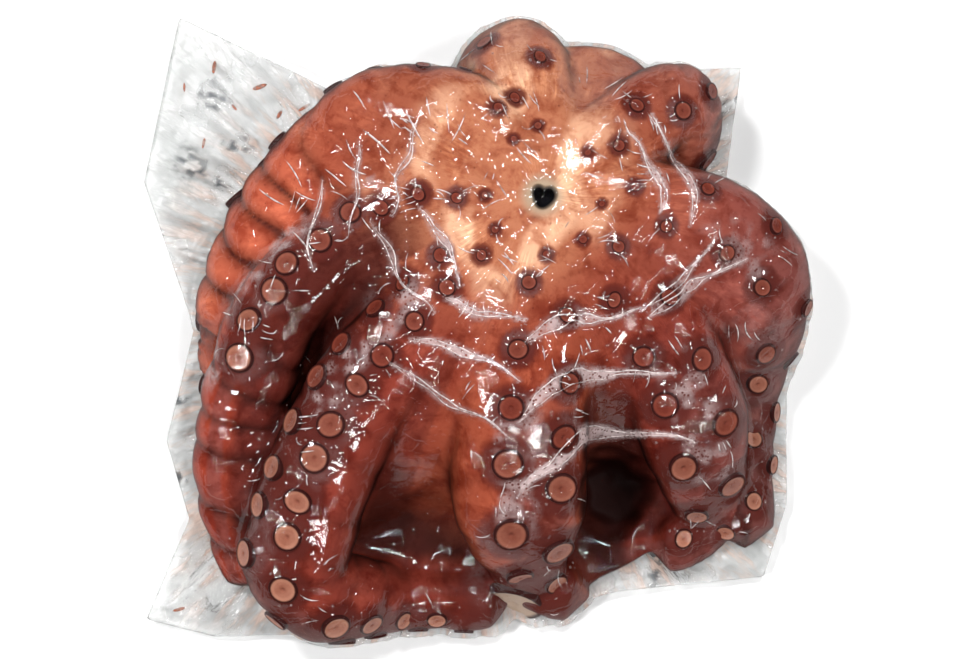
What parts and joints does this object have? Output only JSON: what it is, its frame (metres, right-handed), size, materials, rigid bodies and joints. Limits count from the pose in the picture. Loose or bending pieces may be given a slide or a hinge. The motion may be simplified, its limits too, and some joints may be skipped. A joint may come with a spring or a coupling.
{
  "type": "vacuum-packed cooked whole octopus",
  "caption": "Cooked whole octopus sealed in a clear vacuum bag, lying sucker side up, with arms drawn round it and the free bag margin about it.",
  "frame": {"origin": "middle of the pack's outline, on the surface it lies on", "axes": "+Z up out of the sucker side; +Y towards the side nearest the mouth; +X to the right seen from above with +Y up"},
  "size_m": [0.2685, 0.2583, 0.076],
  "materials": {
    "cooked_octopus": "wet cooked octopus under tight clear film: orange-tan crown, red-brown arms, dark maroon folds, glossy",
    "clear_film": "clear wrinkled vacuum film, greyish white where it is doubled and creased, glossy"
  },
  "bodies": {
    "root": {"octopus": "cooked_octopus", "bag_margin": "clear_film"}
  },
  "joints": []
}
